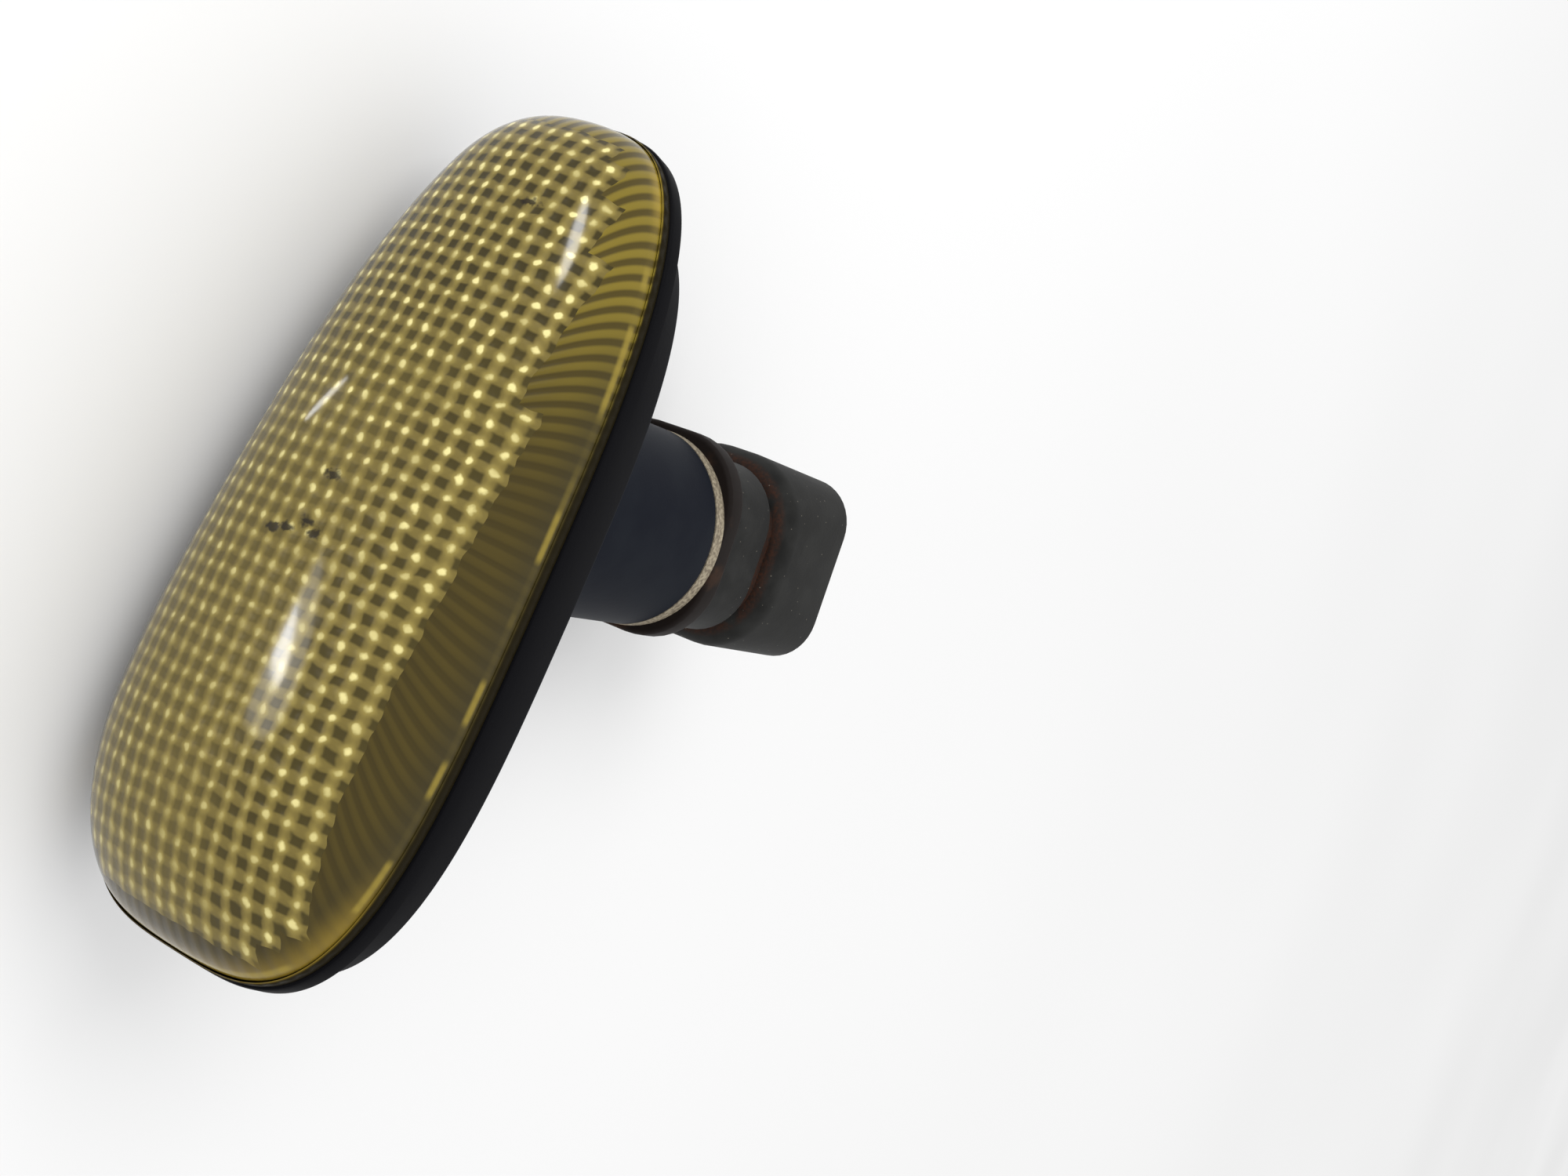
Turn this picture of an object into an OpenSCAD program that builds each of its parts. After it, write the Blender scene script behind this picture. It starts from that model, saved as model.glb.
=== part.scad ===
// Side repeater lamp for a car's front wing: an amber domed lens on a black housing,
// with a bulb holder turned into the housing's leaning neck from behind.
// Millimetres. The lens faces -Y, its long side lies along X, the neck and the connector point along +Y.
// The origin is on the neck's axis, in the plane where the housing seats on the wing.

/* [Lens] */
// Length of the lens at its rim
lens_length = 88; // [76:1:110]
// Height of the lens at its rim
lens_height = 36.6; // [34:0.2:48]
// Squareness of the oval at its broad end, where 2 is an ellipse
broad_squareness = 3.5; // [2.2:0.1:4]
// Squareness of the oval at its slim end
slim_squareness = 3.3; // [2:0.1:4]
// How much taller the lens is at its broad end than at its middle, as a share
lens_taper = 0.14; // [0:0.01:0.2]
// Distance from the neck's axis to the middle of the lens
lens_offset = 6.7; // [0:0.1:11]
// Depth of the dome from its rim to its crown
dome_depth = 13.7; // [12:0.1:22]
// Roundness of the dome's section, where 2 is an ellipse
dome_squareness = 2.1; // [2:0.1:3]
// Length of the rounded stretch at each end of the dome
dome_end = 15.5; // [13:0.5:30]
// Share of its depth that the dome loses towards both ends
dome_fall = 0.46; // [0:0.01:0.5]
// Share of its depth that the dome gains towards the broad end
dome_lean = 0.17; // [0:0.01:0.2]
// Thickness of the lens wall
lens_wall = 1.8; // [1.4:0.1:2.4]
// Height of the plain foot along the lens rim
foot_height = 1.2; // [0.8:0.1:2]
// How far the foot stands out from the dome
foot_step = 0.25; // [0.1:0.05:0.5]
// Tilt of the lens rim against the seat, deepest at the broad end
rim_tilt = 0; // [0:0.1:2]

/* [Lens optics] */
// Spacing of the pillows moulded inside the lens
pillow_pitch = 1.93; // [1.8:0.01:3]
// Height of one pillow
pillow_height = 0.4; // [0.2:0.05:0.8]
// Width of the fluted band between the lens wall and the pillows, seen from the front
flute_band = 1.4; // [1:0.1:3]
// Spacing of the flutes along the rim
flute_pitch = 2.3; // [2:0.1:4]
// Height of one flute
flute_height = 0.35; // [0.2:0.05:0.7]

/* [Housing] */
// How far the housing stands out past the lens
band_lip = 0.4; // [0.1:0.05:1]
// Depth of the black band next to the lens, in the middle of its length
band_depth = 2.1; // [1.8:0.1:4]
// Width of the groove behind the band
groove_width = 0.6; // [0.4:0.1:1.2]
// Depth of that groove
groove_depth = 0.7; // [0.4:0.1:1]
// Depth of the plinth behind the groove
plinth_depth = 3.4; // [2.2:0.1:6]
// How far the plinth's ends lie inside the lens outline
plinth_inset_end = 5.2; // [2:0.1:6]
// How far the plinth's sides lie inside the lens outline
plinth_inset_side = 0.75; // [0.6:0.05:2.4]
// Thickness of the housing's walls and floor
housing_wall = 1.8; // [1.4:0.1:2.2]
// Depth of the channel that takes the lens tongue
channel_depth = 1.2; // [0.8:0.1:1.3]
// Distance from the lens outline to the tongue
tongue_inset = 1; // [0.8:0.1:1.2]

/* [Neck] */
// Lean of the neck away from the broad end
neck_lean = 12.7; // [0:0.1:14]
// Outer radius of the neck at its rim
neck_radius = 11.2; // [11:0.1:14]
// How much wider the neck is at its foot
neck_draft = 0.7; // [0:0.1:1]
// Length of the neck behind the wing
neck_length = 27.7; // [18:0.1:30]
// Thickness of the neck's wall
neck_wall = 1.5; // [1.3:0.1:2]
// Radius of the fillet where the neck meets the plinth
neck_fillet = 1; // [0.5:0.1:2]

/* [Seals] */
// Thickness of the pale ring on the neck's rim
gasket_thick = 1.6; // [0.8:0.1:2]
// Thickness of the dark rubber collar
collar_thick = 2; // [1.4:0.1:3]
// How far the collar stands out past the holder's body along its long side
collar_lip = 1.3; // [0.4:0.1:2]
// Radius of the holder's core inside both seals
core_radius = 8; // [7:0.1:8.6]

/* [Bulb holder] */
// Half of the body's long side
body_half_long = 11; // [10:0.1:12]
// Half of the body's short side, where its flats are
body_half_short = 10.2; // [9:0.1:11]
// Radius of the body's corners
body_corner = 5.4; // [4:0.1:6]
// Length of the body between the collar and the groove
body_length = 9.6; // [4:0.1:12]
// Length of the groove around the body
waist_length = 2.4; // [1.6:0.1:4]
// Depth of that groove
waist_depth = 1.3; // [0.8:0.1:1.8]
// Length of the connector shell
shell_length = 13.2; // [10:0.1:16]
// Half of the shell's long side
shell_half_long = 12; // [11:0.1:13]
// Half of the shell's short side
shell_half_short = 10.4; // [9:0.1:11]
// Radius of the shell's corners
shell_corner = 5.4; // [3:0.1:6]
// Thickness of the shell's wall
shell_wall = 1.7; // [1.2:0.1:2.2]
// Gap between the holder and the neck's bore
holder_gap = 0.25; // [0.1:0.05:0.4]
// Length of the holder's plug inside the neck
plug_length = 15; // [12:0.5:17]

/* [Bulb] */
// Largest radius of the glass
glass_radius = 5.05; // [4.5:0.05:5.15]
// Length of the bulb from its tip to the end of its wedge
bulb_length = 26.8; // [25:0.1:28]
// Thickness of the glass
glass_wall = 0.6; // [0.4:0.1:0.9]
// Width of the glass wedge
wedge_width = 9.4; // [8.8:0.1:9.8]
// Thickness of the wedge
wedge_thick = 2.2; // [2:0.1:2.6]
// Length of the wedge
wedge_length = 7.4; // [6:0.1:8.5]
// Depth that the wedge goes into its slot
wedge_seat = 7; // [5:0.5:8]

/* [Contacts] */
// Width of the contact strips
strip_width = 2.8; // [2:0.1:3]
// Thickness of the contact strips
strip_thick = 0.8; // [0.5:0.1:1]
// Distance from the axis to the middle of each strip
strip_offset = 3.2; // [2.6:0.1:3.6]
// Length of the blades that stand in the connector
blade_length = 7; // [4:0.1:9]

/* [Hidden] */
$fn = 64;
eps = 0.01;
// Clearance between two pieces that slide together
slip = 0.1;
// Points along each oval outline, and the steps in which its length is measured
outline_steps = 68;
fine_steps = 1440;
lens_half = lens_length / 2;
oval_half = lens_height / 2;

// Planes along Y at the seat, and the rim of the lens in the middle of its length
groove_front = -plinth_depth - groove_width;
rim_y = groove_front - band_depth;
floor_y = -housing_wall;

// Planes along the neck's axis, from the bulb to the connector's mouth
neck_end = neck_length;
gasket_end = neck_end + gasket_thick;
collar_end = gasket_end + collar_thick;
waist_start = collar_end + body_length;
waist_end = waist_start + waist_length;
shell_end = waist_end + shell_length;
plug_front = neck_end - plug_length;
socket_floor = waist_end - 1.2;

// Dome: shares of the outline at which its rings are drawn
ring_shares = [1, 0.985, 0.95, 0.9, 0.82, 0.71, 0.57, 0.4, 0.2];
// Shares of the hollow's half length and half height at which its rings lie under the pillows
crown_shares = [[0.8, 0.56], [0.62, 0.38], [0.34, 0.2]];
crown_wall = 0.72 * lens_wall;
// Distances from the inner wall at which the fluted rings are drawn
flute_rings = [0, 0.25 * flute_band, flute_band];

// Pillow mat: the pillows share a thin skin on the inner face of the dome
mat_skin = 0.12;
pillow_top = 0.42 * pillow_pitch;
pillow_columns = floor(lens_length / pillow_pitch);
pillow_rows = 2 * floor(lens_height * (1 + lens_taper) / (2 * pillow_pitch));
// Gutter between the flutes and the mat
mat_gutter = 0.5;

// Tongue under the lens wall and the flutes, and the ribs on it
tongue_thick = lens_wall + flute_height + 0.3 - tongue_inset;
rib_count = 12;
rib_height = 0.09;
channel_wall = 0.7;

// Neck, plug and the holder's bayonet
bore_radius = neck_radius - neck_wall;
plug_radius = bore_radius - holder_gap;
gasket_bore = core_radius + slip;
lug_height = 0.7;
lug_width = 4;
lug_length = 2.4;
lug_y = neck_end - 5;
lug_turn = 50;
lug_rest = 34;

// Bulb: the wedge sits in the plug's slot, the tip points into the dome
wedge_end = plug_front + wedge_seat;
bulb_tip = wedge_end - bulb_length;
wedge_front = wedge_end - wedge_length;
pinch_radius = 3.6;
filament_y = bulb_tip + 9;
coil_radius = 0.45;
coil_wire = 0.12;
coil_turns = 6;
coil_steps = 8;
lead_radius = 0.3;
lead_x = strip_offset;
lead_z = wedge_thick / 2 + lead_radius;

// Contacts: a spring leaf on the wedge, a step, and a blade in the connector
leaf_gap = 0.05;
leaf_z = lead_z + lead_radius + leaf_gap;
leaf_front = plug_front + 1.2;
step_y = wedge_end + 2.2;
blade_end = socket_floor + blade_length;

// Oval outline of the lens, drawn in the plane of its rim

function sign_of(v) = v < 0 ? -1 : 1;
function taper_at(x) = 1 + lens_taper * x / lens_half;
function squareness_at(x) = x < 0 ? slim_squareness : broad_squareness;
function oval_point(t, a, b) =
    let (c = cos(t), s = sin(t), p = 2 / squareness_at(c), x = a * sign_of(c) * pow(abs(c), p))
    [x, b * sign_of(s) * pow(abs(s), p) * taper_at(x)];

// Angles that part the outline into even steps, found from its length
fine = [for (i = [0 : fine_steps]) oval_point(360 * i / fine_steps, lens_half, oval_half)];
run = [for (i = 0, s = 0; i <= fine_steps;
    s = s + norm(fine[min(i + 1, fine_steps)] - fine[i]), i = i + 1) [s, 360 * i / fine_steps]];
rim_length = run[fine_steps][0];
function even_angles(n) = [for (i = [0 : n - 1]) lookup(i * rim_length / n, run)];
outline_angles = even_angles(outline_steps);

function oval(inset_x, inset_z) =
    [for (t = outline_angles) oval_point(t, lens_half - inset_x, oval_half - inset_z)];
function half_height(x, inset) =
    let (u = min(1, abs(x) / (lens_half - inset)), n = squareness_at(x))
    (oval_half - inset) * pow(1 - pow(u, n), 1 / n) * taper_at(x);

// Rise of the dome over the rim at a point of the oval, where inset is the depth under the outer face

function arch(u) = pow(1 - pow(min(1, max(0, u)), dome_squareness), 1 / dome_squareness);
function rise(x, z, inset) =
    let (half = half_height(x, inset),
        end = arch((abs(x) - lens_half + dome_end) / (dome_end - inset)),
        fall = 1 + dome_lean * x / lens_half - dome_fall * pow(x / lens_half, 2))
    (dome_depth - inset) * end * fall * arch(abs(z) / max(half, eps));
function dome_point(x, z, inset) = [x, -rise(x, z, inset), z];
function dome_ring(share, inset) =
    [for (p = oval(inset, inset)) dome_point(p[0] * share, p[1] * share, inset)];

// Puts a shape drawn at the rim's plane in its place on the housing
module on_rim() {
    translate([lens_offset, rim_y, 0])
        rotate([0, 0, -rim_tilt])
            children();
}

// Puts a shape drawn along +Y on the leaning axis of the neck
module on_neck() {
    rotate([0, 0, neck_lean])
        children();
}

// A slab of the oval outline between two planes, set in by one amount at the ends and another at the sides
module oval_slab(y0, y1, inset_x, inset_z) {
    translate([0, y1, 0])
        rotate([90, 0, 0])
            linear_extrude(height = y1 - y0)
                polygon(oval(inset_x, inset_z));
}

module round_y(radius, y0, y1) {
    translate([0, y0, 0])
        rotate([-90, 0, 0])
            cylinder(r = radius, h = y1 - y0);
}

// A closed solid through rings of equally many points, with the last ring closed at a crown point
module ring_solid(rings, crown) {
    n = len(rings[0]);
    last = len(rings) - 1;
    points = concat([for (r = rings) for (p = r) p], [crown]);
    base = [for (i = [0 : n - 1]) i];
    walls = [for (r = [0 : last - 1]) for (i = [0 : n - 1])
        let (a = r * n + i, b = r * n + (i + 1) % n)
        each [[a, a + n, b + n], [a, b + n, b]]];
    cap = [for (i = [0 : n - 1]) [last * n + i, (last + 1) * n, last * n + (i + 1) % n]];
    polyhedron(points, concat([base], walls, cap));
}

// Flutes: the hollow's outline is waved along the rim, and the waves die out under the pillows

flute_count = round(rim_length / flute_pitch);
flute_angles = even_angles(2 * flute_count);
function flute_point(k, in, wave) =
    let (d = lens_wall + (k % 2) * wave,
        p = oval_point(flute_angles[k], lens_half - d - in, oval_half - d - in))
    dome_point(p[0], p[1], d);
function flute_ring(in, wave) = [for (k = [0 : 2 * flute_count - 1]) flute_point(k, in, wave)];
function crown_ring(a, b) =
    [for (t = flute_angles) let (p = oval_point(t, a, b)) dome_point(p[0], p[1], crown_wall)];

// Hollow of the lens
module hollow() {
    half_long = lens_half - lens_wall;
    half_short = oval_half - lens_wall;
    border = flute_band + mat_gutter - 0.15;
    waved = [for (in = flute_rings) flute_ring(in, flute_height)];
    plain = [for (s = crown_shares) crown_ring(s[0] * half_long, s[1] * half_short)];
    ring_solid(concat(waved, [crown_ring(half_long - border, half_short - border)], plain),
        dome_point(0, 0, crown_wall));
}

// Pillow optics: square cushions side by side, each with a flat diamond on top, in one closed mat

function pillow_x(i) = (i - pillow_columns / 2) * pillow_pitch;
function pillow_z(j) = (j - pillow_rows / 2) * pillow_pitch;
function on_mat(x, z) =
    let (in = lens_wall + flute_band + mat_gutter)
    abs(x) < lens_half - in && half_height(x, in) > abs(z);
function pillow_fits(i, j) =
    i >= 0 && j >= 0 && i < pillow_columns && j < pillow_rows &&
    on_mat(pillow_x(i), pillow_z(j)) && on_mat(pillow_x(i + 1), pillow_z(j)) &&
    on_mat(pillow_x(i), pillow_z(j + 1)) && on_mat(pillow_x(i + 1), pillow_z(j + 1));

module pillow_mat() {
    across = pillow_rows + 1;
    corners = (pillow_columns + 1) * across;
    buried = [for (i = [0 : pillow_columns]) for (j = [0 : pillow_rows])
        dome_point(pillow_x(i), pillow_z(j), lens_wall / 2)];
    valleys = [for (i = [0 : pillow_columns]) for (j = [0 : pillow_rows])
        dome_point(pillow_x(i), pillow_z(j), lens_wall + mat_skin)];
    tops = [for (i = [0 : pillow_columns - 1]) for (j = [0 : pillow_rows - 1]) for (k = [0 : 3])
        dome_point(pillow_x(i + 0.5) + pillow_top * cos(90 * k),
            pillow_z(j + 0.5) + pillow_top * sin(90 * k), lens_wall + mat_skin + pillow_height)];
    // Corners of a cell at 45, 135, 225 and 315 degrees, and the neighbours behind the sides between them
    steps = [[1, 1], [0, 1], [0, 0], [1, 0]];
    sides = [[0, 1], [-1, 0], [0, -1], [1, 0]];
    faces = [for (i = [0 : pillow_columns - 1]) for (j = [0 : pillow_rows - 1])
        if (pillow_fits(i, j))
            let (t = 2 * corners + 4 * (i * pillow_rows + j),
                c = [for (s = steps) (i + s[0]) * across + j + s[1]])
            each concat(
                [[t, t + 1, t + 2], [t, t + 2, t + 3]],
                [for (k = [0 : 3]) each [
                    [corners + c[k], corners + c[(k + 1) % 4], t + (k + 1) % 4],
                    [corners + c[k], t + (k + 1) % 4, t + k]]],
                [[c[0], c[2], c[1]], [c[0], c[3], c[2]]],
                [for (k = [0 : 3])
                    if (!pillow_fits(i + sides[k][0], j + sides[k][1]))
                        each [[c[k], corners + c[(k + 1) % 4], corners + c[k]],
                            [c[k], c[(k + 1) % 4], corners + c[(k + 1) % 4]]]])];
    polyhedron(concat(buried, valleys, tops), faces);
}

// Small upright ribs on the tongue, thinner at the tip, that centre the lens in its channel
module tongue_ribs() {
    for (k = [0 : rib_count - 1])
        let (t = lookup((k + 0.5) * rim_length / rib_count, run),
            p = oval_point(t, lens_half - tongue_inset, oval_half - tongue_inset))
        translate([p[0], 0, p[1]])
            hull() {
                rotate([-90, 0, 0])
                    cylinder(r = rib_height, h = channel_depth / 2, $fn = 6);
                rotate([-90, 0, 0])
                    cylinder(r = rib_height / 2, h = channel_depth - 2 * slip, $fn = 6);
            }
}

module lens() {
    color([0.72, 0.58, 0.12, 0.8])
        on_rim()
            union() {
                difference() {
                    union() {
                        ring_solid([for (s = ring_shares) dome_ring(s, 0)], dome_point(0, 0, 0));
                        oval_slab(-foot_height, 0, -foot_step, -foot_step);
                        oval_slab(-eps, channel_depth - slip, tongue_inset, tongue_inset);
                    }
                    hollow();
                    oval_slab(-eps, channel_depth,
                        tongue_inset + tongue_thick, tongue_inset + tongue_thick);
                }
                pillow_mat();
                tongue_ribs();
            }
}

module housing() {
    color([0.1, 0.1, 0.11])
        difference() {
            union() {
                front_band();
                translate([lens_offset, 0, 0]) {
                    oval_slab(groove_front - eps, -plinth_depth + eps, groove_depth, groove_depth);
                    oval_slab(-plinth_depth, 0, plinth_inset_end, plinth_inset_side);
                }
                on_neck()
                    neck_outside();
            }
            dish();
            on_rim()
                tongue_channel();
            on_neck() {
                round_y(bore_radius, -2 * housing_wall, neck_length + 1);
                for (side = [0, 180])
                    rotate([0, side, 0])
                        bayonet_track();
            }
        }
}

// Band under the lens rim, cut level where the groove begins
module front_band() {
    intersection() {
        on_rim()
            oval_slab(0, 2 * band_depth, -band_lip, -band_lip);
        translate([-lens_length, 2 * rim_y, -lens_height])
            cube([3 * lens_length, groove_front - 2 * rim_y, 2 * lens_height]);
    }
}

// Inside of the housing behind the lens, above a level floor
module dish() {
    inset = tongue_inset + tongue_thick + slip + channel_wall;
    intersection() {
        on_rim()
            oval_slab(-eps, 3 * band_depth + plinth_depth, inset, inset);
        translate([lens_offset, 0, 0])
            oval_slab(2 * rim_y, floor_y, plinth_inset_end + housing_wall, inset);
    }
}

module tongue_channel() {
    difference() {
        oval_slab(-1, channel_depth, tongue_inset - slip, tongue_inset - slip);
        oval_slab(-2, channel_depth + 1,
            tongue_inset + tongue_thick + slip, tongue_inset + tongue_thick + slip);
    }
}

// The leaning tube meets the plinth higher on one side, so its fillet is raised to clear it
function fillet_lift() = (neck_radius + neck_draft) * tan(neck_lean);

// Drafted tube with a concave fillet at its foot, sunk into the plinth and cut level inside it
module neck_outside() {
    foot_radius = neck_radius + neck_draft;
    sunk = housing_wall / 2 + foot_radius * sin(neck_lean);
    difference() {
        rotate([-90, 0, 0])
            rotate_extrude() {
                polygon([[0, -sunk], [foot_radius, -sunk], [foot_radius, 0],
                    [neck_radius, neck_length], [0, neck_length]]);
                difference() {
                    translate([foot_radius - 1, -sunk])
                        square([neck_fillet + 1, neck_fillet + sunk + fillet_lift()]);
                    translate([foot_radius + neck_fillet, neck_fillet + fillet_lift()])
                        circle(r = neck_fillet, $fn = 48);
                }
            }
        rotate([0, 0, -neck_lean])
            translate([-2 * foot_radius, -4 * foot_radius - housing_wall / 2, -2 * foot_radius])
                cube(4 * foot_radius);
    }
}

// A way in along the bore, then round it to the locked place
module bayonet_track() {
    reach = lug_height + slip;
    translate([0, lug_y - slip, -lug_width / 2 - slip])
        cube([bore_radius + reach, neck_end - lug_y + 1, lug_width + 2 * slip]);
    translate([0, lug_y - slip, 0])
        rotate([-90, 0, 0])
            rotate_extrude(angle = lug_turn)
                translate([bore_radius - 1, 0])
                    square([1 + reach, lug_length + 2 * slip]);
}

module neck_gasket() {
    color([0.82, 0.76, 0.6])
        on_neck()
            difference() {
                round_y(neck_radius, neck_end, gasket_end);
                round_y(gasket_bore, neck_end - 1, gasket_end + 1);
            }
}

module holder_collar() {
    color([0.16, 0.13, 0.12])
        on_neck()
            difference() {
                rounded_slab(body_half_long + collar_lip, body_half_short + collar_lip / 4,
                    body_corner + collar_lip / 2, gasket_end, collar_end);
                round_y(gasket_bore, gasket_end - 1, collar_end + 1);
            }
}

module rounded_slab(half_x, half_z, corner, y0, y1) {
    translate([0, y1, 0])
        rotate([90, 0, 0])
            linear_extrude(height = y1 - y0)
                rounded_outline(half_x, half_z, corner);
}

module rounded_outline(half_x, half_z, corner) {
    square([2 * half_x, 2 * (half_z - corner)], center = true);
    square([2 * (half_x - corner), 2 * half_z], center = true);
    for (x = [-1, 1])
        for (z = [-1, 1])
            translate([x * (half_x - corner), z * (half_z - corner)])
                circle(r = corner);
}

module bulb_holder() {
    waist_x = body_half_long - waist_depth;
    waist_z = body_half_short - waist_depth;
    color([0.3, 0.31, 0.31])
        on_neck()
            difference() {
                union() {
                    round_y(plug_radius, plug_front, neck_end - slip);
                    round_y(core_radius, neck_end - 1, collar_end + eps);
                    rounded_slab(body_half_long, body_half_short, body_corner, collar_end, waist_start);
                    rounded_slab(waist_x, waist_z, shell_corner, waist_start - eps, waist_end + eps);
                    rounded_slab(shell_half_long, shell_half_short, shell_corner, waist_end, shell_end);
                    for (side = [0, 180])
                        rotate([0, side + lug_rest, 0])
                            holder_lug();
                }
                wedge_slot();
                contact_strip(slip);
                rotate([0, 180, 0])
                    contact_strip(slip);
                rounded_slab(shell_half_long - shell_wall, shell_half_short - shell_wall,
                    shell_corner - shell_wall, waist_end, shell_end + 1);
                rounded_slab(waist_x - shell_wall, waist_z - shell_wall,
                    shell_corner - shell_wall, socket_floor, waist_end + eps);
            }
}

module holder_lug() {
    translate([plug_radius - 1, lug_y, -lug_width / 2])
        cube([1 + lug_height, lug_length, lug_width]);
}

// Slot for the glass wedge, with room for its wires
module wedge_slot() {
    translate([-wedge_width / 2 - slip, plug_front - 1, -lead_z - lead_radius])
        cube([wedge_width + 2 * slip, wedge_seat + 1 + 3 * lead_radius, 2 * (lead_z + lead_radius)]);
}

// Profile of a contact in the Y-Z plane, pushed out along X, with a gap around it where it is a pocket
module contact_strip(gap) {
    t = strip_thick;
    profile = [
        [leaf_front - gap, leaf_z - gap],
        [step_y - gap, leaf_z - gap],
        [step_y - gap, -t / 2 - gap],
        [blade_end + gap, -t / 2 - gap],
        [blade_end + gap, t / 2 + gap],
        [step_y + t + gap, t / 2 + gap],
        [step_y + t + gap, leaf_z + t + gap],
        [leaf_front - gap, leaf_z + t + gap]];
    translate([strip_offset - strip_width / 2 - gap, 0, 0])
        rotate([90, 0, 90])
            linear_extrude(height = strip_width + 2 * gap)
                polygon(profile);
}

module contact_left() {
    color([0.78, 0.62, 0.3])
        on_neck()
            rotate([0, 180, 0])
                contact_strip(0);
}

module contact_right() {
    color([0.78, 0.62, 0.3])
        on_neck()
            contact_strip(0);
}

// Glass envelope, hollow above the pinch, with its flat wedge and the bores for its wires
module bulb_glass() {
    color([0.85, 0.9, 0.92, 0.5])
        on_neck()
            difference() {
                union() {
                    translate([0, wedge_front, 0])
                        rotate([90, 0, 0])
                            rotate_extrude()
                                difference() {
                                    glass_profile(0);
                                    glass_profile(glass_wall);
                                }
                    translate([-wedge_width / 2, wedge_front - eps, -wedge_thick / 2])
                        cube([wedge_width, wedge_length + eps, wedge_thick]);
                }
                for (side = [-1, 1])
                    rod_y(side * lead_x, 0, wedge_front - 2, wedge_end + 1, lead_radius);
            }
}

// Half section of the envelope: a round tip, a straight side and a neck drawn in to the pinch
module glass_profile(inset) {
    height = wedge_front - bulb_tip;
    r = glass_radius - inset;
    neck = pinch_radius + 0.6;
    intersection() {
        union() {
            translate([0, height - glass_radius])
                circle(r = r);
            translate([0, neck])
                square([r, height - glass_radius - neck]);
            polygon([[0, 2 * inset], [pinch_radius + 0.4 - inset, 2 * inset], [r, neck], [0, neck]]);
        }
        square([glass_radius + 1, height + 1]);
    }
}

module rod_y(x, z, y0, y1, radius) {
    translate([x, y0, z])
        rotate([-90, 0, 0])
            cylinder(r = radius, h = y1 - y0, $fn = 24);
}

// Coil of square wire between the leads
module filament() {
    reach = lead_x - lead_radius;
    n = coil_turns * coil_steps;
    points = [for (i = [0 : n]) for (c = [[-1, -1], [1, -1], [1, 1], [-1, 1]])
        let (a = 360 * i / coil_steps, r = coil_radius + c[1] * coil_wire / 2)
        [-reach + 2 * reach * i / n + c[0] * coil_wire / 2, r * cos(a), r * sin(a)]];
    sides = [for (i = [0 : n - 1]) for (k = [0 : 3])
        let (a = 4 * i + k, b = 4 * i + (k + 1) % 4)
        each [[a, a + 4, b], [b, a + 4, b + 4]]];
    color([0.5, 0.5, 0.52])
        on_neck()
            translate([0, filament_y, 0])
                polyhedron(points, concat([[0, 1, 2, 3]], sides, [[4 * n + 3, 4 * n + 2, 4 * n + 1, 4 * n]]));
}

// Wire from the filament through the wedge, folded back along the wedge's face
module lead() {
    rod_y(lead_x, 0, filament_y - coil_radius, wedge_end + lead_radius, lead_radius);
    translate([lead_x, wedge_end + lead_radius, 0])
        cylinder(r = lead_radius, h = lead_z, $fn = 24);
    for (z = [0, lead_z])
        translate([lead_x, wedge_end + lead_radius, z])
            sphere(r = lead_radius, $fn = 24);
    rod_y(lead_x, lead_z, leaf_front, wedge_end + lead_radius, lead_radius);
}

module lead_right() {
    color([0.7, 0.7, 0.68])
        on_neck()
            lead();
}

module lead_left() {
    color([0.7, 0.7, 0.68])
        on_neck()
            rotate([0, 180, 0])
                lead();
}

lens();
housing();
neck_gasket();
holder_collar();
bulb_holder();
bulb_glass();
filament();
lead_left();
lead_right();
contact_left();
contact_right();
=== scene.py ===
"""Looks of a car's side repeater lamp: amber lens, black housing, rubber collar and bulb holder."""

import math

import bmesh
import bpy
from bpy.props import FloatProperty, FloatVectorProperty, PointerProperty
from mathutils import Matrix, Vector


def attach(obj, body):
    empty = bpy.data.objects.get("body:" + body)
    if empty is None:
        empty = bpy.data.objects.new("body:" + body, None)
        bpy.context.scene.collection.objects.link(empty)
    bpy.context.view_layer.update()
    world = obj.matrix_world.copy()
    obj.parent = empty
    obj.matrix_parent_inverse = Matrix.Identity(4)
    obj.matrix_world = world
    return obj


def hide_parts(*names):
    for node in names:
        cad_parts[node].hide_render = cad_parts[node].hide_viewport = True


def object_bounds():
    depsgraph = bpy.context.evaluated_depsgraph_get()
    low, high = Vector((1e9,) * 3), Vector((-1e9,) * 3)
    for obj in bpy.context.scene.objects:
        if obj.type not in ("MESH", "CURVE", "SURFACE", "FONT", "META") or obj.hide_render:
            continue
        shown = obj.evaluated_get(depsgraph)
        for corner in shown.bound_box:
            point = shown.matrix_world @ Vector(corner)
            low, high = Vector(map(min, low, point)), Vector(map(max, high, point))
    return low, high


bl_info = {
    "name": "Side Repeater Lamp",
    "version": (1, 0, 0),
    "blender": (4, 5, 0),
    "location": "3D View > Sidebar > Lamp",
    "description": "Builds the pieces and finishes of a side repeater lamp",
    "category": "Object",
}

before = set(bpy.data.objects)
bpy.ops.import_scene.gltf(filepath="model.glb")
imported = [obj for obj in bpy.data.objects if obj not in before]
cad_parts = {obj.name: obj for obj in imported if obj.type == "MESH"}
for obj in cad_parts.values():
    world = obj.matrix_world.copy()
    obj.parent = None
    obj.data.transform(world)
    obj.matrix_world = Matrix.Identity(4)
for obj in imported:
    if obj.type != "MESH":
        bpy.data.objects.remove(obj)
cad_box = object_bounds()

MM = 0.001

# Radius of a ring so small that it closes a skin at its middle
POINT = 1e-5

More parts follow.
